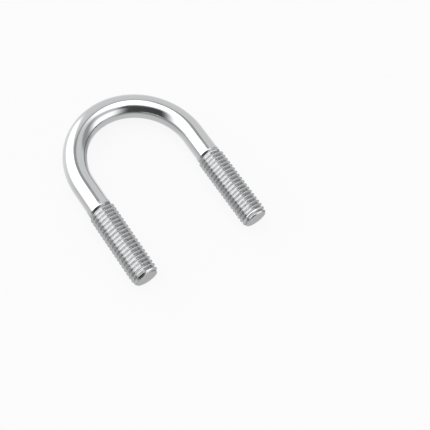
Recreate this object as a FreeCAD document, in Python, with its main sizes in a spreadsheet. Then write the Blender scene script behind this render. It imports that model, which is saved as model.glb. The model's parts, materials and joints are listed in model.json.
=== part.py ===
import FreeCAD, Part
import math
import os
import Sketcher

# A plain U-bolt: one round steel bar, bent through a half circle, with a metric thread rolled on
# the end of each leg. The thread stands up to the left and right of the bar's own surface, because
# rolling pushes metal out of the grooves and into the crests.
#
# Frame: origin at the centre of the bend, level with the middle of the bar. The U lies flat in the
# XY plane. The bend is on the +Y side, the legs run along -Y, and +Z is up. Millimetres.

DRIVING_SIZES = (
    ("leg_spacing", 38, "between the axes of the two legs"),
    ("bar_diameter", 7.19, "plain bar, which is the pitch diameter of the thread"),
    ("thread_diameter", 8, "over the crests"),
    ("thread_pitch", 1.25, "coarse pitch of this diameter"),
    ("straight_shank", 8.7, "plain straight bar between the bend and the thread"),
    ("leg_length", 33.25, "from the centre of the bend to the end faces"),
    ("shoulder_length", 0.35, "slope from the bar up to the first crest"),
    ("point_length", 0.95, "taper at each free end"),
    ("end_face_diameter", 6.6, "flat end of the taper"),
)

WORKED_OUT_SIZES = (
    ("leg_offset", "=leg_spacing / 2", "from the middle of the U to a leg's axis"),
    ("bar_radius", "=bar_diameter / 2", ""),
    ("crest_radius", "=thread_diameter / 2", ""),
    ("groove_depth", "=thread_pitch * 0.6134", "depth of a metric external thread"),
    ("root_radius", "=crest_radius - groove_depth", ""),
    ("crest_flat", "=thread_pitch / 8", "land left between two turns of the groove"),
    ("root_flat", "=thread_pitch / 6", "flat at the bottom of the groove"),
    ("cutter_radius", "=crest_radius + 0.1", "the groove's outline reaches just past the crests"),
    ("cutter_width", "=thread_pitch - crest_flat + 0.2 * tan(30 deg)", "the groove's width out there"),
    ("groove_run", "=leg_length - straight_shank - shoulder_length", "threaded part of a leg"),
)


# The sketcher's own numbers for the points of a line or circle, and for a sketch's origin and
# horizontal axis.
START, END, CENTRE = 1, 2, 3
SKETCH_ORIGIN = (-1, 1)
SKETCH_AXIS = -1

# How far the finished volume may be from the bar's: the crests, points and shoulders are not exact.
ROLLING_TOLERANCE = 0.01


def origin_feature(body, role):
    """The body's own origin plane or axis with this role."""
    return next(item for item in body.Origin.OriginFeatures if item.Role == role)


def fill_sheet(doc):
    """Write the driving sizes, and the sizes worked out from them, into the spreadsheet."""
    sheet = doc.addObject("Spreadsheet::Sheet", "Sizes")
    for row, (alias, value, note) in enumerate(DRIVING_SIZES + WORKED_OUT_SIZES, start=1):
        sheet.set(f"A{row}", alias.replace("_", " "))
        sheet.set(f"B{row}", str(value))
        sheet.setAlias(f"B{row}", alias)
        sheet.set(f"C{row}", note)
    doc.recompute()
    return sheet


def new_sketch(body, name, role):
    """An empty sketch on one of the body's own origin planes."""
    sketch = body.newObject("Sketcher::SketchObject", name)
    sketch.AttachmentSupport = [(origin_feature(body, role), "")]
    sketch.MapMode = "FlatFace"
    return sketch


def bind(sketch, constraint, expression):
    """Add a constraint to the sketch and let an expression set its value."""
    index = sketch.addConstraint(constraint)
    sketch.setExpression(f"Constraints[{index}]", expression)


def add_bar_circle(sketch, side):
    """The bar's section on the sketch's horizontal axis, at the left (-1) or right (+1) leg."""
    rough_centre = FreeCAD.Vector(side * 20, 0, 0)
    circle = sketch.addGeometry(Part.Circle(rough_centre, FreeCAD.Vector(0, 0, 1), 4))
    sketch.addConstraint(Sketcher.Constraint("PointOnObject", circle, CENTRE, SKETCH_AXIS))
    across = Sketcher.Constraint("DistanceX", *SKETCH_ORIGIN, circle, CENTRE, rough_centre.x)
    bind(sketch, across, f"{side} * Sizes.leg_offset")
    bind(sketch, Sketcher.Constraint("Diameter", circle, 8), "Sizes.bar_diameter")


def add_outline(sketch, corners):
    """A closed outline of straight lines, each corner given as two expressions, x and y."""
    count = len(corners)
    rough = [FreeCAD.Vector(5 + index % 2, index - 30, 0) for index in range(count)]
    lines = [
        sketch.addGeometry(Part.LineSegment(rough[index], rough[(index + 1) % count]))
        for index in range(count)
    ]
    for index, (x, y) in enumerate(corners):
        joined_line = lines[(index + 1) % count]
        sketch.addConstraint(Sketcher.Constraint("Coincident", lines[index], END, joined_line, START))
        corner = (*SKETCH_ORIGIN, lines[index], START)
        bind(sketch, Sketcher.Constraint("DistanceX", *corner, rough[index].x), x)
        bind(sketch, Sketcher.Constraint("DistanceY", *corner, rough[index].y), y)


def bend(body):
    """Half a ring of the plain bar, on the +Y side."""
    section = new_sketch(body, "BendSection", "XZ_Plane")
    add_bar_circle(section, 1)
    ring = body.newObject("PartDesign::Revolution", "Bend")
    ring.Profile = section
    ring.ReferenceAxis = (section, ["V_Axis"])
    ring.Angle = 180
    return ring


def shanks(body):
    """The plain straight part of both legs."""
    section = new_sketch(body, "ShankSections", "XZ_Plane")
    for side in (-1, 1):
        add_bar_circle(section, side)
    pad = body.newObject("PartDesign::Pad", "Shanks")
    pad.Profile = section
    pad.setExpression("Length", "Sizes.straight_shank")
    return pad


def leg_sketch(body, name):
    """A sketch in the plane of the U whose vertical axis is the axis of the right leg."""
    sketch = new_sketch(body, name, "XY_Plane")
    sketch.setExpression(".AttachmentOffset.Base.x", "Sizes.leg_offset")
    return sketch


def threaded_end(body):
    """The full-size end of the right leg, before its groove: shoulder, cylinder and tapered point."""
    outline = leg_sketch(body, "ThreadedEndOutline")
    add_outline(
        outline,
        (
            ("0", "-Sizes.straight_shank"),
            ("Sizes.bar_radius", "-Sizes.straight_shank"),
            ("Sizes.crest_radius", "-(Sizes.straight_shank + Sizes.shoulder_length)"),
            ("Sizes.crest_radius", "-(Sizes.leg_length - Sizes.point_length)"),
            ("Sizes.end_face_diameter / 2", "-Sizes.leg_length"),
            ("0", "-Sizes.leg_length"),
        ),
    )
    turned = body.newObject("PartDesign::Revolution", "ThreadedEnd")
    turned.Profile = outline
    turned.ReferenceAxis = (outline, ["V_Axis"])
    turned.Angle = 360
    return turned


def thread_groove(body):
    """The right-hand helical groove, from beyond the free end up to the shoulder."""
    outline = leg_sketch(body, "GrooveOutline")
    middle = "-(Sizes.leg_length + Sizes.thread_pitch / 2)"
    add_outline(
        outline,
        (
            ("Sizes.root_radius", f"{middle} - Sizes.root_flat / 2"),
            ("Sizes.cutter_radius", f"{middle} - Sizes.cutter_width / 2"),
            ("Sizes.cutter_radius", f"{middle} + Sizes.cutter_width / 2"),
            ("Sizes.root_radius", f"{middle} + Sizes.root_flat / 2"),
        ),
    )
    groove = body.newObject("PartDesign::SubtractiveHelix", "ThreadGroove")
    groove.Profile = outline
    groove.ReferenceAxis = (outline, ["V_Axis"])
    groove.Mode = "pitch-height-angle"
    groove.setExpression("Pitch", "Sizes.thread_pitch")
    groove.setExpression("Height", "Sizes.groove_run")
    groove.LeftHanded = False
    return groove


def other_leg(body, features):
    """Both features again on the left leg, by half a turn about the middle line of the U.

    A half turn keeps the thread right-handed, where a mirror image would not.
    """
    pattern = body.newObject("PartDesign::PolarPattern", "OtherLeg")
    pattern.Originals = features
    pattern.Axis = (origin_feature(body, "Y_Axis"), [""])
    pattern.Angle = 360
    pattern.Occurrences = 2
    body.Tip = pattern
    return pattern


def bar_volume(sheet):
    """The volume of the cut length of bar, which rolling the thread and bending leave unchanged."""
    centreline = math.pi * sheet.leg_offset + 2 * sheet.leg_length
    return math.pi * sheet.bar_radius**2 * centreline


def check_built(doc, body, sheet):
    """Stop before anything is written if a feature failed or the solid is wrong."""
    failed = [item.Name for item in doc.Objects if {"Invalid", "Error"} & set(item.State)]
    if failed:
        raise RuntimeError(f"these features failed: {failed}")
    shape = body.Shape
    if shape.isNull() or not shape.isValid() or len(shape.Solids) != 1:
        raise RuntimeError(f"{body.Label} is not one valid solid")
    if abs(shape.Volume / bar_volume(sheet) - 1) > ROLLING_TOLERANCE:
        raise RuntimeError(f"{body.Label} holds {shape.Volume:.0f} mm3, not {bar_volume(sheet):.0f}")


def main():
    doc = FreeCAD.newDocument("UBolt")
    sheet = fill_sheet(doc)
    body = doc.addObject("PartDesign::Body", "UBoltBody")
    body.Label = "u_bolt"
    bend(body)
    shanks(body)
    end = threaded_end(body)
    doc.recompute()
    before_groove = body.Shape.Volume
    groove = thread_groove(body)
    doc.recompute()
    if body.Shape.Volume > before_groove - 1:
        raise RuntimeError("the thread's groove cut nothing")
    other_leg(body, [end, groove])
    body.Placement = FreeCAD.Placement()
    doc.recompute()
    check_built(doc, body, sheet)
    os.makedirs("parts", exist_ok=True)
    body.Shape.exportStep(f"parts/{body.Label}.step")
    print(f"{body.Label}: {body.Shape.Volume:.0f} mm3, bar {bar_volume(sheet):.0f} mm3")


main()
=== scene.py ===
"""The looks of a plain steel U-bolt: a bright bar, bent once, with a thread rolled on each leg.

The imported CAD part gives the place, the leg spacing, the bar, the crests and the length. The
thread's pitch, depth and start, and the size of the point, are set here. One detailed mesh stands
for the part: bend, straight shanks, the run-out where each thread starts, the right-hand threads
themselves, and the pointed and faced ends. All lengths are in metres, in the frame of the CAD part:
the U lies flat in XY, the bend is on the +Y side, the legs run along -Y, and the origin is the
centre of the bend.
"""

import json
import logging
import math
from dataclasses import dataclass
from enum import Enum

import bpy
import numpy as np
from mathutils import Matrix, Vector

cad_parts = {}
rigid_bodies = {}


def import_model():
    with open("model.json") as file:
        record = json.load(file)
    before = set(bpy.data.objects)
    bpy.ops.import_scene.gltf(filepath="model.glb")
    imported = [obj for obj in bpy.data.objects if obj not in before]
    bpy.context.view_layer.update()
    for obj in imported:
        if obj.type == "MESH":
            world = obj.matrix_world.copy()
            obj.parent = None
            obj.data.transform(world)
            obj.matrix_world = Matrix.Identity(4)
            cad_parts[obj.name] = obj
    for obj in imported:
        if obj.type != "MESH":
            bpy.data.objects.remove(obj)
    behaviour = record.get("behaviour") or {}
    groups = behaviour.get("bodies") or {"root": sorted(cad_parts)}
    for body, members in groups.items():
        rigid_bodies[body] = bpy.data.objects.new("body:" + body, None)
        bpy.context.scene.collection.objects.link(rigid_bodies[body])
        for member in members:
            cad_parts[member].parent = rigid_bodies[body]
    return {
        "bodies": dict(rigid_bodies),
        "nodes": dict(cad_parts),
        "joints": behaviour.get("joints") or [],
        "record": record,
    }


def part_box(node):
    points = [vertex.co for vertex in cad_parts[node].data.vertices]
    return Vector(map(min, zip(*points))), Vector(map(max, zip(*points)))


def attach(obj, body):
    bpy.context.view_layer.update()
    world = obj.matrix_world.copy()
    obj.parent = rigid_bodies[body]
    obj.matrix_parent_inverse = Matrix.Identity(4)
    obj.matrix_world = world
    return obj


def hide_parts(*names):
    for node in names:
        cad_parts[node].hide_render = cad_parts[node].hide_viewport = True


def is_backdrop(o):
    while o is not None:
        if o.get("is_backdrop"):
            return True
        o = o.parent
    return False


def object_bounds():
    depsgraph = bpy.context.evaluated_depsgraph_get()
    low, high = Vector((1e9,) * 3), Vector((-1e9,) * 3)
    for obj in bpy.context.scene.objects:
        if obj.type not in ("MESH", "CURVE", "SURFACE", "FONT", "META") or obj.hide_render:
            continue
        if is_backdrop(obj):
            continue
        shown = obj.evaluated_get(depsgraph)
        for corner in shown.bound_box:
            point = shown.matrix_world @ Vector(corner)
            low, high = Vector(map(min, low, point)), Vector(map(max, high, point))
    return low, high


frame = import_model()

LOG = logging.getLogger("u_bolt")
MM = 0.001
MICRON = 0.000001
THREAD_PITCH = 1.25 * MM
FIRST_ROOT = 8.45 * MM


class Zone(Enum):
    """The surfaces of the bolt that leave the works with a finish of their own."""

    BAR = 0
    THREAD = 1
    CUT_END = 2


def smooth_step(value: np.ndarray | float) -> np.ndarray | float:
    """Ease from 0 to 1 as value goes from 0 to 1, flat outside that range."""
    held = np.clip(value, 0.0, 1.0)
    return held * held * (3.0 - 2.0 * held)


def smooth_min(first: np.ndarray, second: np.ndarray | float, radius: float) -> np.ndarray:
    """The lower of two heights, with their meeting rounded over.

    Args:
        first: Heights of the first surface.
        second: Heights of the second surface.
        radius: How far apart the two heights are where the rounding starts.

    Returns:
        The rounded lower envelope.
    """
    share = np.clip(0.5 + 0.5 * (second - first) / radius, 0.0, 1.0)
    return second * (1.0 - share) + first * share - radius * share * (1.0 - share)


@dataclass(frozen=True)
class ThreadForm:
    """The section of a rolled metric thread."""

    pitch: float
    crest_radius: float
    depth_share: float = 0.6134
    rounding: float = 0.04 * MM

    @property
    def depth(self) -> float:
        """Height of the thread from its filled root to its flat crest."""
        return self.depth_share * self.pitch

    @property
    def root_radius(self) -> float:
        """Radius at the bottom of the groove."""
        return self.crest_radius - self.depth

    def stations(self) -> np.ndarray:
        """Where one turn is sampled, from one root to the next, as shares of the pitch.

        Returns:
            Stations that crowd together at the rounded root and at the edges of the crest.
        """
        root_to_crest = np.array([0.0, 0.05, 0.09, 0.15, 0.24, 0.33, 0.405, 0.44, 0.47])
        return np.concatenate([root_to_crest, [0.5], 1.0 - root_to_crest[:0:-1]])

    def radius(self, turn_share: np.ndarray) -> np.ndarray:
        """Radius of the full thread.

        Args:
            turn_share: Place between two roots, from 0 at one to 1 at the next.

        Returns:
            The radius there, with rounded root and crest.
        """
        from_root = np.minimum(turn_share, 1.0 - turn_share) * self.pitch
        root_half_width = self.pitch / 12
        flank = self.root_radius + (from_root - root_half_width) * math.sqrt(3)
        capped = smooth_min(flank, self.crest_radius, self.rounding)
        return -smooth_min(-capped, -self.root_radius, 2 * self.rounding)


@dataclass(frozen=True)
class ThreadedLeg:
    """The rolled end of one leg, from the plain bar to the faced end."""

    form: ThreadForm
    bar_radius: float
    first_root: float
    end: float
    point_length: float = 0.95 * MM
    end_face_radius: float = 3.3 * MM
    lead_drop: float = 0.12 * MM
    lead_length: float = 1.3 * MM
    run_out_slope: float = math.radians(27)
    run_out_turns: float = 0.4
    columns: int = 80

    @property
    def start(self) -> float:
        """Where the run-out's slope leaves the plain bar, at the column where it starts first."""
        return self.first_root - (self.bar_radius - self.form.root_radius) / math.tan(self.run_out_slope)

    def crest_limit(self, along: np.ndarray) -> np.ndarray:
        """The largest radius that the point of the leg allows.

        Args:
            along: Distance from the centre of the bend towards the end.

        Returns:
            The radius of the cone that was turned on the blank, with the low first crests behind it.
        """
        to_end = self.end - along
        cone = self.end_face_radius + to_end * (
            (self.form.crest_radius - self.end_face_radius) / self.point_length
        )
        lead = (to_end - self.point_length) / self.lead_length
        crest = self.form.crest_radius - self.lead_drop * (1.0 - smooth_step(lead))
        return smooth_min(cone, crest, self.form.rounding)

    def radius(self, along: np.ndarray, turn: np.ndarray) -> np.ndarray:
        """Radius of the leg at any point of its surface.

        The groove starts at the first root. On the bend's side of it a gentle slope leads back to
        the bar. Over the first part of a turn the groove deepens and its crest rises.

        Args:
            along: Distance from the centre of the bend towards the end.
            turn: Angle round the leg in turns, from 0 to 1.

        Returns:
            Radius from the leg's axis.
        """
        root_count = (along - self.first_root) / self.form.pitch - turn
        cell = np.floor(root_count)
        grown = smooth_step(np.clip(cell + turn, 0.0, None) / self.run_out_turns)
        grown_before = np.where(cell < 0, 0.0, grown)
        next_root_depth = smooth_step(np.clip(cell + 1 + turn, 0.0, None) / self.run_out_turns)
        next_root = self.bar_radius + (self.form.root_radius - self.bar_radius) * next_root_depth
        to_next = (cell + 1 - root_count) * self.form.pitch
        slope = next_root + to_next * math.tan(self.run_out_slope)
        run_out = smooth_min(slope, self.bar_radius, self.form.rounding)
        thread = self.form.radius(root_count - cell)
        shaped = run_out + (thread - run_out) * grown_before
        return np.minimum(shaped, self.crest_limit(along))


class BoltMesh:
    """Gathers the points and faces of the bolt, and turns them into one closed Blender mesh."""

    def __init__(self) -> None:
        """Start with nothing gathered."""
        self.points: list[np.ndarray] = []
        self.count = 0
        self.faces: list[tuple[int, ...]] = []
        self.zones: list[int] = []

    def add_points(self, points: np.ndarray) -> np.ndarray:
        """Take in an array of points.

        Args:
            points: Array whose last axis is x, y, z.

        Returns:
            Their numbers, in an array of the same shape without the last axis.
        """
        flat = points.reshape(-1, 3)
        numbers = np.arange(self.count, self.count + len(flat)).reshape(points.shape[:-1])
        self.points.append(flat)
        self.count += len(flat)
        return numbers

    def add_face(self, corners: tuple[int, ...], zone: Zone) -> None:
        """Take in a face, leaving out a corner that repeats the one before it.

        Args:
            corners: Point numbers, counter-clockwise seen from outside.
            zone: The finish that the face gets.
        """
        kept = [c for i, c in enumerate(corners) if c != corners[i - 1]]
        if len(kept) >= 3:
            self.faces.append(tuple(int(c) for c in kept))
            self.zones.append(zone.value)

    def join_rings(self, first: np.ndarray, second: np.ndarray, zone: Zone) -> None:
        """Skin the band between two rings of points.

        Args:
            first: Point numbers round the first ring.
            second: Point numbers round the second, further along the bar's own direction.
            zone: The finish of the band.
        """
        for column in range(len(first)):
            after = (column + 1) % len(first)
            self.add_face((first[column], second[column], second[after], first[after]), zone)

    def cap(self, ring: np.ndarray, centre: np.ndarray, zone: Zone) -> None:
        """Close a ring with a fan of triangles round a centre point.

        Args:
            ring: Point numbers round the ring.
            centre: The middle point, x, y, z.
            zone: The finish of the cap.
        """
        middle = int(self.add_points(centre[None, :])[0])
        for column in range(len(ring)):
            self.add_face((ring[(column + 1) % len(ring)], ring[column], middle), zone)

    def build(self, name: str) -> bpy.types.Object:
        """Make the Blender object.

        Args:
            name: Name of the object and its mesh.

        Returns:
            The smooth-shaded object, linked into the scene.
        """
        mesh = bpy.data.meshes.new(name)
        mesh.from_pydata(np.concatenate(self.points).tolist(), [], self.faces)
        mesh.polygons.foreach_set("material_index", self.zones)
        mesh.polygons.foreach_set("use_smooth", [True] * len(self.faces))
        mesh.validate()
        mesh.update()
        piece = bpy.data.objects.new(name, mesh)
        bpy.context.scene.collection.objects.link(piece)
        return piece


@dataclass(frozen=True)
class UBolt:
    """The whole bolt: a half-circle bend between two threaded legs."""

    leg_offset: float
    leg: ThreadedLeg
    bend_steps: int = 112
    shank_steps: int = 10
    face_rings: tuple[float, ...] = (0.985, 0.94, 0.8, 0.6, 0.4, 0.2)
    face_dish: float = 0.03 * MM

    @classmethod
    def from_frame(cls, packed: dict) -> "UBolt":
        """Read the leg spacing, bar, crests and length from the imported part.


        Returns:
            The bolt, with the pitch and first root that are named at the top of this file.
        """
        mounts = {mount["name"]: mount for mount in packed["record"]["mounts"]}
        studs = mounts["threaded_legs"]["dims"]
        leg_offset = studs["spacing_x_mm"] / 2 * MM
        saddle_radius = mounts["saddle"]["dims"]["r_mm"] * MM
        low_corner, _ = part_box("u_bolt")
        form = ThreadForm(pitch=THREAD_PITCH, crest_radius=studs["stud_r_mm"] * MM)
        leg = ThreadedLeg(
            form=form,
            bar_radius=leg_offset - saddle_radius,
            first_root=FIRST_ROOT,
            end=-low_corner.y,
        )
        return cls(leg_offset=leg_offset, leg=leg)

    def angles(self) -> np.ndarray:
        """Angles of the columns round the bar, from the outside of the U towards +Z."""
        return np.arange(self.leg.columns) * (2 * math.pi / self.leg.columns)

    def bar_ring(self, centre: Vector, outward: Vector) -> np.ndarray:
        """One ring of the plain bar.

        Args:
            centre: Centre of the ring.
            outward: Direction away from the middle of the U, square to the bar.

        Returns:
            The ring's points.
        """
        angles = self.angles()[:, None]
        upward = np.array([[0.0, 0.0, 1.0]])
        across = np.array(outward)[None, :] * np.cos(angles) + upward * np.sin(angles)
        return np.array(centre)[None, :] + across * self.leg.bar_radius

    def bar_rings(self) -> list[np.ndarray]:
        """Rings of the plain bar, from the right leg's thread round the bend to the left leg's."""
        offset, start = self.leg_offset, self.leg.start
        right, left = Vector((1, 0, 0)), Vector((-1, 0, 0))
        rings = []
        for step in range(self.shank_steps):
            down = start * (1 - step / self.shank_steps)
            rings.append(self.bar_ring(Vector((offset, -down, 0)), right))
        for step in range(self.bend_steps + 1):
            turn = math.pi * step / self.bend_steps
            outward = Vector((math.cos(turn), math.sin(turn), 0))
            rings.append(self.bar_ring(outward * offset, outward))
        for step in range(1, self.shank_steps + 1):
            down = start * step / self.shank_steps
            rings.append(self.bar_ring(Vector((-offset, -down, 0)), left))
        return rings

    def leg_points(self, along: np.ndarray, turn: np.ndarray, side: int) -> np.ndarray:
        """Points on the surface of a threaded leg.

        The left leg is the right one after half a turn about the middle line of the U, so both
        threads are right-handed.

        Args:
            along: Distances from the centre of the bend towards the end.
            turn: Angles round the leg in turns.
            side: 1 for the right leg, -1 for the left.

        Returns:
            Points, with x, y, z on the last axis.
        """
        radius = self.leg.radius(along, turn)
        angle = turn * 2 * math.pi
        x = side * (self.leg_offset + radius * np.cos(angle))
        z = side * radius * np.sin(angle)
        return np.stack([x, -along, z], axis=-1)

    def add_leg(self, mesh: BoltMesh, shank_ring: np.ndarray, side: int) -> None:
        """Build a threaded leg on the end of the plain bar.

        The grid's rows follow the helix, so every crest and root is a clean edge. A row that
        leaves the leg at either end is held at that end.

        Args:
            mesh: Where the points and faces go.
            shank_ring: Point numbers of the bar's last ring, column by column of this leg.
            side: 1 for the right leg, -1 for the left.
        """
        leg, form = self.leg, self.leg.form
        columns = leg.columns
        turn = np.arange(columns) / columns
        stations = form.stations()
        per_turn = len(stations)
        first = math.floor((leg.start - leg.first_root) / form.pitch) - 1
        last = math.ceil((leg.end - leg.first_root) / form.pitch)
        rows = np.concatenate([stations + whole for whole in range(first, last + 1)])
        along = leg.first_root + (rows[:, None] + turn[None, :]) * form.pitch
        sliver = form.pitch / 100
        before, beyond = along < leg.start + sliver, along > leg.end - sliver
        numbers = np.full(along.shape, -1)
        inside = ~(before | beyond)
        spread_turn = np.broadcast_to(turn, along.shape)
        numbers[inside] = mesh.add_points(self.leg_points(along[inside], spread_turn[inside], side))
        end_ring = mesh.add_points(self.leg_points(np.full(columns, leg.end), turn, side))
        numbers = np.where(before, shank_ring[None, :], numbers)
        numbers = np.where(beyond, end_ring[None, :], numbers)
        for row in range(len(rows) - 1):
            for column in range(columns):
                wraps = column + 1 == columns
                after, shift = (0, per_turn) if wraps else (column + 1, 0)
                if row + 1 + shift >= len(rows):
                    continue
                corners = (
                    numbers[row, column],
                    numbers[row + shift, after],
                    numbers[row + 1 + shift, after],
                    numbers[row + 1, column],
                )
                mesh.add_face(corners, Zone.THREAD)
        self.add_end_face(mesh, end_ring, side)

    def add_end_face(self, mesh: BoltMesh, rim: np.ndarray, side: int) -> None:
        """Close the end of a leg with a faced, very slightly dished disc.

        Args:
            mesh: Where the points and faces go.
            rim: Point numbers round the end of the leg.
            side: 1 for the right leg, -1 for the left.
        """
        turn = np.arange(self.leg.columns) / self.leg.columns
        rim_radius = self.leg.radius(np.full(self.leg.columns, self.leg.end), turn)
        outer = rim
        for share in self.face_rings:
            angle = turn * 2 * math.pi
            x = side * (self.leg_offset + rim_radius * share * np.cos(angle))
            y = np.full(self.leg.columns, -self.leg.end + self.face_dish * (1 - share**2))
            z = side * rim_radius * share * np.sin(angle)
            inner = mesh.add_points(np.stack([x, y, z], axis=-1))
            mesh.join_rings(inner, outer, Zone.CUT_END)
            outer = inner
        middle = np.array([side * self.leg_offset, -self.leg.end + self.face_dish, 0.0])
        mesh.cap(outer[::-1], middle, Zone.CUT_END)

    def build(self) -> bpy.types.Object:
        """Build the bolt as one closed mesh.

        Returns:
            The Blender object, whose faces carry the index of their zone; the materials are added later.
        """
        mesh = BoltMesh()
        rings = [mesh.add_points(ring) for ring in self.bar_rings()]
        for one, following in zip(rings, rings[1:]):
            mesh.join_rings(one, following, Zone.BAR)
        mirrored_columns = (-np.arange(self.leg.columns)) % self.leg.columns
        self.add_leg(mesh, rings[0], 1)
        self.add_leg(mesh, rings[-1][mirrored_columns], -1)
        return mesh.build("bent_bar")


class NodeSheet:
    """A short hand for laying out the nodes of one material or world."""

    def __init__(self, tree: bpy.types.NodeTree) -> None:
        """Take over an empty node tree.

        Args:
            tree: The tree to fill.
        """
        self.tree = tree
        tree.nodes.clear()

    def add(self, kind: str, **settings: object) -> bpy.types.Node:
        """Add a node and set its own options.

        Args:
            kind: Blender's type name of the node, without the ShaderNode in front.
            **settings: Options by name.

        Returns:
            The node.
        """
        node = self.tree.nodes.new("ShaderNode" + kind)
        for name, value in settings.items():
            setattr(node, name, value)
        return node

    def feed(self, socket: bpy.types.NodeSocket, value: object) -> None:
        """Link a socket to another, or set it to a plain value.

        Args:
            socket: The input.
            value: An output socket, a number or a tuple.
        """
        if isinstance(value, bpy.types.NodeSocket):
            self.tree.links.new(value, socket)
        else:
            socket.default_value = value

    def math(self, operation: str, *values: object, clamp: bool = False) -> bpy.types.NodeSocket:
        """One sum.

        Args:
            operation: Blender's name of the operation.
            *values: Inputs in order.
            clamp: Hold the result between 0 and 1.

        Returns:
            The result.
        """
        node = self.add("Math", operation=operation, use_clamp=clamp)
        for socket, value in zip(node.inputs, values):
            self.feed(socket, value)
        return node.outputs[0]

    def ramp(
        self, value: object, low: float, high: float, to_low: float, to_high: float
    ) -> bpy.types.NodeSocket:
        """Carry a value smoothly from one range to another, held at both ends.

        Args:
            value: The input.
            low: Start of the input's range.
            high: End of the input's range.
            to_low: Result at low.
            to_high: Result at high.

        Returns:
            The result.
        """
        node = self.add("MapRange", interpolation_type="SMOOTHSTEP")
        for socket, part in zip(node.inputs, (value, low, high, to_low, to_high)):
            self.feed(socket, part)
        return node.outputs[0]

    def mix(self, share: object, first: object, second: object) -> bpy.types.NodeSocket:
        """Mix two numbers.

        Args:
            share: 0 gives the first, 1 the second.
            first: Number or socket.
            second: Number or socket.

        Returns:
            The mixed number.
        """
        node = self.add("Mix", data_type="FLOAT")
        for place, part in ((0, share), (2, first), (3, second)):
            self.feed(node.inputs[place], part)
        return node.outputs[0]


class BarGuide:
    """Coordinates that follow the bar, worked out from the part's own frame."""

    def __init__(self, sheet: NodeSheet, bolt: UBolt) -> None:
        """Lay out the nodes.

        Args:
            sheet: The material's node sheet.
            bolt: The bolt whose sizes are used.
        """
        place = sheet.add("TexCoord").outputs["Object"]
        parts = sheet.add("SeparateXYZ")
        sheet.feed(parts.inputs[0], place)
        x, y, z = parts.outputs
        self.sheet = sheet
        self.place = place
        on_bend = sheet.math("GREATER_THAN", y, 0.0)
        sideways = sheet.math("ABSOLUTE", x)
        squares = (sheet.math("MULTIPLY", x, x), sheet.math("MULTIPLY", y, y))
        reach = sheet.math("SQRT", sheet.math("ADD", *squares))
        from_middle = sheet.mix(on_bend, sideways, reach)
        self.outward = sheet.math("SUBTRACT", from_middle, bolt.leg_offset)
        self.height = z
        arc = sheet.math("MULTIPLY", sheet.math("ARCTAN2", y, x), bolt.leg_offset)
        self.along = sheet.mix(on_bend, y, arc)
        square = sheet.math("MULTIPLY", self.outward, self.outward)
        self.from_axis = sheet.math("SQRT", sheet.math("ADD", square, sheet.math("MULTIPLY", z, z)))

    def grain(self, across: float, along: float, detail: float) -> bpy.types.NodeSocket:
        """Noise drawn out along the bar.

        Args:
            across: Grains per metre across the bar.
            along: Grains per metre along it.
            detail: Blender's noise detail.

        Returns:
            The noise, around 0.5.
        """
        joined = self.sheet.add("CombineXYZ")
        for socket, value, scale in zip(
            joined.inputs, (self.outward, self.height, self.along), (across, across, along)
        ):
            self.sheet.feed(socket, self.sheet.math("MULTIPLY", value, scale))
        noise = self.sheet.add("TexNoise")
        self.sheet.feed(noise.inputs["Vector"], joined.outputs[0])
        self.sheet.feed(noise.inputs["Scale"], 1.0)
        self.sheet.feed(noise.inputs["Detail"], detail)
        return noise.outputs["Fac"]

    def specks(self, scale: float, detail: float) -> bpy.types.NodeSocket:
        """Noise that is the same size in every direction.

        Args:
            scale: Specks per metre.
            detail: Blender's noise detail.

        Returns:
            The noise, around 0.5.
        """
        noise = self.sheet.add("TexNoise")
        self.sheet.feed(noise.inputs["Vector"], self.place)
        self.sheet.feed(noise.inputs["Scale"], scale)
        self.sheet.feed(noise.inputs["Detail"], detail)
        return noise.outputs["Fac"]


@dataclass(frozen=True)
class SteelFinish:
    """What every finish on the bolt shares: bare stainless steel."""

    name: str
    tone: tuple[float, float, float]
    roughness: float

    def open_sheet(self) -> tuple[bpy.types.Material, NodeSheet, bpy.types.Node]:
        """Start the material.

        Returns:
            The material, its node sheet, and its metal shader already on the output.
        """
        material = bpy.data.materials.new(self.name)
        material.use_nodes = True
        sheet = NodeSheet(material.node_tree)
        shader = sheet.add("BsdfPrincipled")
        shader.inputs["Metallic"].default_value = 1.0
        output = sheet.add("OutputMaterial")
        sheet.feed(output.inputs["Surface"], shader.outputs[0])
        return material, sheet, shader

    def tint(self, sheet: NodeSheet, shader: bpy.types.Node, brightness: bpy.types.NodeSocket) -> None:
        """Colour the steel, its tone scaled by a brightness that varies over the surface.

        Args:
            sheet: The material's node sheet.
            shader: The metal shader.
            brightness: About 1 all over.
        """
        scaled = sheet.add("VectorMath", operation="SCALE")
        sheet.feed(scaled.inputs[0], self.tone)
        sheet.feed(scaled.inputs["Scale"], brightness)
        sheet.feed(shader.inputs["Base Color"], scaled.outputs[0])

    def bump(
        self, sheet: NodeSheet, shader: bpy.types.Node, height: bpy.types.NodeSocket, depth: float
    ) -> None:
        """Raise the surface by a height that varies over it.

        Args:
            sheet: The material's node sheet.
            shader: The metal shader.
            height: Height from 0 to 1.
            depth: What a height of 1 stands for, in metres.
        """
        node = sheet.add("Bump")
        sheet.feed(node.inputs["Strength"], 1.0)
        sheet.feed(node.inputs["Distance"], depth)
        sheet.feed(node.inputs["Height"], height)
        sheet.feed(shader.inputs["Normal"], node.outputs[0])


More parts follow.
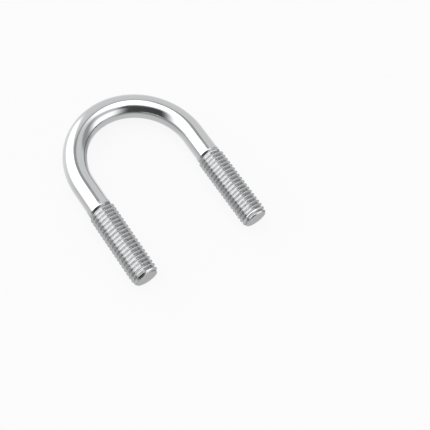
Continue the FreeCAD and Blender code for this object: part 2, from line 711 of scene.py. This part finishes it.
@dataclass(frozen=True)
class DrawnBar(SteelFinish):
    """Bright drawn bar: a near mirror, with faint die lines along it and handling haze."""

    line_depth: float = 1.2 * MICRON
    lines_across: float = 6000
    lines_along: float = 60
    haze_scale: float = 220
    haze_share: tuple[float, float] = (0.8, 1.5)
    line_shade: tuple[float, float] = (0.965, 1.02)

    def material(self, bolt: UBolt) -> bpy.types.Material:
        """Make the material.

        Args:
            bolt: The bolt whose sizes guide the grain.

        Returns:
            The finished material.
        """
        material, sheet, shader = self.open_sheet()
        guide = BarGuide(sheet, bolt)
        lines = guide.grain(across=self.lines_across, along=self.lines_along, detail=3)
        haze = guide.specks(scale=self.haze_scale, detail=4)
        clear, hazy = (self.roughness * share for share in self.haze_share)
        sheet.feed(shader.inputs["Roughness"], sheet.ramp(haze, 0.3, 0.75, clear, hazy))
        self.tint(sheet, shader, sheet.ramp(lines, 0.3, 0.7, *self.line_shade))
        self.bump(sheet, shader, lines, self.line_depth)
        return material


@dataclass(frozen=True)
class RolledThread(SteelFinish):
    """Rolled thread: burnished flanks, duller crests that met the die last, and painted shade darkening the
    roots.
    """

    crest_height: float = 0.1 * MM
    crest_dulling: float = 0.2
    crest_roughness: float = 0.12
    root_height: float = 0.3 * MM
    # How far the roots are darkened: painted shade for the groove's own shadow.
    root_painted_shade: float = 0.4
    edge_sheen: float = 0.7
    patch_scale: float = 900
    patch_share: tuple[float, float] = (0.75, 1.25)
    patch_depth: float = 0.8 * MICRON

    def material(self, bolt: UBolt) -> bpy.types.Material:
        """Make the material.

        Args:
            bolt: The bolt whose thread sets where crests and roots are.

        Returns:
            The finished material.
        """
        material, sheet, shader = self.open_sheet()
        guide = BarGuide(sheet, bolt)
        form = bolt.leg.form
        edge = form.crest_radius - self.crest_height
        crest = sheet.ramp(guide.from_axis, edge, edge + 0.8 * self.crest_height, 0.0, 1.0)
        # Painted shade: this mask is 1 at the thread roots and fades out up the flanks, standing in for the
        # shade inside the groove.
        root_top = form.root_radius + self.root_height
        root = sheet.ramp(guide.from_axis, form.root_radius, root_top, 1.0, 0.0)
        patches = guide.specks(scale=self.patch_scale, detail=3)
        rough = sheet.math("MULTIPLY", crest, self.crest_roughness)
        sheet.feed(shader.inputs["Roughness"], sheet.math("ADD", rough, self.roughness))
        dulling = sheet.math("MULTIPLY", crest, self.crest_dulling)
        # Painted shade: the steel's colour is darkened in the roots, where the groove shades it.
        painted_root_shade = sheet.math("MULTIPLY", root, self.root_painted_shade)
        patchy = sheet.ramp(patches, 0.3, 0.7, *self.patch_share)
        # Real dulling on the crests plus painted shade in the roots, both varied by the patches.
        dulling_and_painted_shade = sheet.math("MULTIPLY", sheet.math("ADD", dulling, painted_root_shade), patchy)
        self.tint(sheet, shader, sheet.math("SUBTRACT", 1.0, dulling_and_painted_shade))
        shader.inputs["Specular Tint"].default_value = (self.edge_sheen,) * 3 + (1.0,)
        self.bump(sheet, shader, patches, self.patch_depth)
        return material


@dataclass(frozen=True)
class FacedEnd(SteelFinish):
    """The cut end of the bar: matt, with fine rings left by the facing tool."""

    rings_per_metre: float = 9000.0
    ring_wobble: float = 5.0
    ring_height: float = 0.25
    speck_scale: float = 1800
    speck_share: tuple[float, float] = (0.9, 1.15)
    speck_shade: tuple[float, float] = (0.94, 1.04)
    mark_depth: float = 4 * MICRON

    def material(self, bolt: UBolt) -> bpy.types.Material:
        """Make the material.

        Args:
            bolt: The bolt whose legs the rings go round.

        Returns:
            The finished material.
        """
        material, sheet, shader = self.open_sheet()
        guide = BarGuide(sheet, bolt)
        specks = guide.specks(scale=self.speck_scale, detail=5)
        phase = sheet.math("MULTIPLY", guide.from_axis, self.rings_per_metre * 2 * math.pi)
        wobble = sheet.math("MULTIPLY", specks, self.ring_wobble)
        rings = sheet.math("SINE", sheet.math("ADD", phase, wobble))
        height = sheet.math("ADD", sheet.math("MULTIPLY", rings, self.ring_height), specks)
        smooth, rough = (self.roughness * share for share in self.speck_share)
        sheet.feed(shader.inputs["Roughness"], sheet.ramp(specks, 0.3, 0.7, smooth, rough))
        self.tint(sheet, shader, sheet.ramp(specks, 0.25, 0.75, *self.speck_shade))
        self.bump(sheet, shader, height, self.mark_depth)
        return material


@dataclass(frozen=True)
class SoftEdge:
    """One edge of a studio panel: where it is and how wide its falling-off is, in degrees."""

    at: float
    width: float

    def share(
        self, sheet: NodeSheet, angle: object, rising: bool, shift: float = 0.0
    ) -> bpy.types.NodeSocket:
        """How far a direction is past this edge.

        Args:
            sheet: The world's node sheet.
            angle: The direction's angle.
            rising: True when the panel is on the side of larger angles.
            shift: Angle that counts as 0.

        Returns:
            1 on the panel's side of the edge, 0 on the other, smooth between.
        """
        low = self.at - shift - self.width / 2
        ends = (0.0, 1.0) if rising else (1.0, 0.0)
        return sheet.ramp(angle, low, low + self.width, *ends)


@dataclass(frozen=True)
class RoomPanel:
    """One evenly lit or dark patch of the studio, as the bolt sees it.

    Angles are in degrees. Azimuth 0 is towards -Y and 90 towards +X; elevation 90 is straight up.
    """

    name: str
    brightness: float
    left: SoftEdge
    right: SoftEdge
    foot: SoftEdge
    head: SoftEdge

    def mask(self, sheet: NodeSheet, azimuth: object, elevation: object) -> bpy.types.NodeSocket:
        """Share of this panel in each direction.

        Args:
            sheet: The world's node sheet.
            azimuth: The direction's azimuth.
            elevation: The direction's elevation.

        Returns:
            1 inside the panel and 0 outside, with soft edges.
        """
        middle = (self.left.at + self.right.at) / 2
        turned = sheet.math("WRAP", sheet.math("SUBTRACT", azimuth, middle), 180.0, -180.0)
        sideways = sheet.math(
            "MULTIPLY",
            self.left.share(sheet, turned, True, middle),
            self.right.share(sheet, turned, False, middle),
        )
        upright = sheet.math(
            "MULTIPLY",
            self.foot.share(sheet, elevation, True),
            self.head.share(sheet, elevation, False),
        )
        return sheet.math("MULTIPLY", sideways, upright)


@dataclass(frozen=True)
class Studio:
    """A white tent of soft panels round the bolt, and a pale table lit from below."""

    panels: tuple[RoomPanel, ...]
    room: float = 0.8
    backdrop: float = 0.97
    table_glow: float = 0.9
    table_tone: float = 0.05
    table_size: float = 6.0

    def light(self) -> None:
        """Lay the panels out over the whole sky, one over another."""
        world = bpy.data.worlds.new("studio")
        world.use_nodes = True
        bpy.context.scene.world = world
        sheet = NodeSheet(world.node_tree)
        direction = sheet.add("SeparateXYZ")
        sheet.feed(direction.inputs[0], sheet.add("TexCoord").outputs["Generated"])
        x, y, z = direction.outputs
        azimuth = sheet.math("DEGREES", sheet.math("ARCTAN2", x, sheet.math("MULTIPLY", y, -1.0)))
        elevation = sheet.math("DEGREES", sheet.math("ARCSINE", z))
        brightness = self.room
        for panel in self.panels:
            brightness = sheet.mix(panel.mask(sheet, azimuth, elevation), brightness, panel.brightness)
            LOG.info("panel %s", panel.name)
        seen = sheet.add("LightPath").outputs["Is Camera Ray"]
        background = sheet.add("Background")
        background.inputs["Color"].default_value = (1.0, 1.0, 1.0, 1.0)
        sheet.feed(background.inputs["Strength"], sheet.mix(seen, brightness, self.backdrop))
        output = sheet.add("OutputWorld")
        sheet.feed(output.inputs["Surface"], background.outputs[0])

    def table(self, height: float) -> bpy.types.Object:
        """Lay the table under the bolt.

        Args:
            height: Height of the table's top.

        Returns:
            The table, marked as stage. The steel doesn't mirror it: the tent's base does that job.
        """
        half = self.table_size / 2
        mesh = bpy.data.meshes.new("table")
        flat_corners = ((-half, -half), (half, -half), (half, half), (-half, half))
        corners = [(x, y, height) for x, y in flat_corners]
        mesh.from_pydata(corners, [], [(0, 1, 2, 3)])
        table = bpy.data.objects.new("table", mesh)
        bpy.context.scene.collection.objects.link(table)
        material = bpy.data.materials.new("white_acrylic")
        material.use_nodes = True
        shader = material.node_tree.nodes["Principled BSDF"]
        shader.inputs["Base Color"].default_value = (self.table_tone,) * 3 + (1.0,)
        shader.inputs["Roughness"].default_value = 1.0
        shader.inputs["Specular IOR Level"].default_value = 0.0
        shader.inputs["Emission Color"].default_value = (1.0, 1.0, 1.0, 1.0)
        shader.inputs["Emission Strength"].default_value = self.table_glow
        mesh.materials.append(material)
        table.visible_glossy = False
        table.visible_shadow = False
        table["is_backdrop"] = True
        return table


@dataclass(frozen=True)
class Viewpoint:
    """A camera, placed by what it looks at.

    Angles are in degrees: azimuth 0 looks along +Y, and roll turns the camera clockwise.
    """

    target: tuple[float, float, float]
    azimuth: float
    elevation: float
    roll: float
    distance: float
    lens: float
    sensor: float = 36.0

    def set_up(self) -> bpy.types.Object:
        """Make the camera and give it to the scene.

        Returns:
            The camera.
        """
        around, up = math.radians(self.azimuth), math.radians(self.elevation)
        back = Vector(
            (math.sin(around) * math.cos(up), -math.cos(around) * math.cos(up), math.sin(up))
        )
        data = bpy.data.cameras.new("camera")
        data.lens = self.lens
        data.sensor_width = self.sensor
        data.clip_start = self.distance / 100
        data.clip_end = self.distance * 100
        camera = bpy.data.objects.new("camera", data)
        bpy.context.scene.collection.objects.link(camera)
        level = (-back).to_track_quat("-Z", "Y").to_matrix().to_4x4()
        rolled = level @ Matrix.Rotation(math.radians(self.roll), 4, "Z")
        camera.matrix_world = Matrix.Translation(Vector(self.target) + back * self.distance) @ rolled
        bpy.context.scene.camera = camera
        return camera


PANELS = (
    RoomPanel("far floor", 1.05, SoftEdge(95, 40), SoftEdge(235, 40), SoftEdge(-72, 24), SoftEdge(4, 8)),
    RoomPanel("rear wall", 0.92, SoftEdge(88, 10), SoftEdge(184, 10), SoftEdge(-15, 16), SoftEdge(58, 12)),
    RoomPanel("ceiling", 2.6, SoftEdge(-190, 2), SoftEdge(180, 2), SoftEdge(62, 12), SoftEdge(100, 2)),
    RoomPanel("rear beam", 0.45, SoftEdge(134, 12), SoftEdge(190, 20), SoftEdge(54, 6), SoftEdge(71, 8)),
    RoomPanel("doorway", 0.085, SoftEdge(-108, 20), SoftEdge(18, 24), SoftEdge(-13, 34), SoftEdge(66, 34)),
    RoomPanel("left wall", 2.6, SoftEdge(-183, 14), SoftEdge(-82, 44), SoftEdge(2, 26), SoftEdge(67, 8)),
    RoomPanel("right wall", 1.8, SoftEdge(10, 36), SoftEdge(58, 20), SoftEdge(-1, 20), SoftEdge(40, 18)),
    RoomPanel("corner slit", 0.45, SoftEdge(67, 12), SoftEdge(89, 12), SoftEdge(-27, 14), SoftEdge(54, 10)),
    RoomPanel("slit foot", 0.5, SoftEdge(84, 12), SoftEdge(108, 12), SoftEdge(-44, 12), SoftEdge(-16, 10)),
)

FINISHES = {
    Zone.BAR: DrawnBar("drawn_bar", (0.595, 0.6, 0.607), 0.09),
    Zone.THREAD: RolledThread("rolled_thread", (0.595, 0.6, 0.607), 0.16),
    Zone.CUT_END: FacedEnd("faced_end", (0.5, 0.503, 0.508), 0.4),
}


def main() -> None:
    """Build the bolt, its studio and its camera."""
    logging.basicConfig(level=logging.INFO, format="%(name)s: %(message)s")
    cad_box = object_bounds()
    bolt = UBolt.from_frame(frame)
    piece = bolt.build()
    for zone in Zone:
        piece.data.materials.append(FINISHES[zone].material(bolt))
    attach(piece, "root")
    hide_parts("u_bolt")
    LOG.info("bent_bar: %d faces", len(piece.data.polygons))
    studio = Studio(PANELS)
    studio.light()
    studio.table(cad_box[0].z)
    view = Viewpoint(
        target=(9.1 * MM, -26.2 * MM, 0.0),
        azimuth=-53.48,
        elevation=59.49,
        roll=21.41,
        distance=268.3 * MM,
        lens=77.57,
    )
    view.set_up()
    bpy.context.scene.view_settings.view_transform = "Standard"


if __name__ == "__main__":
    main()
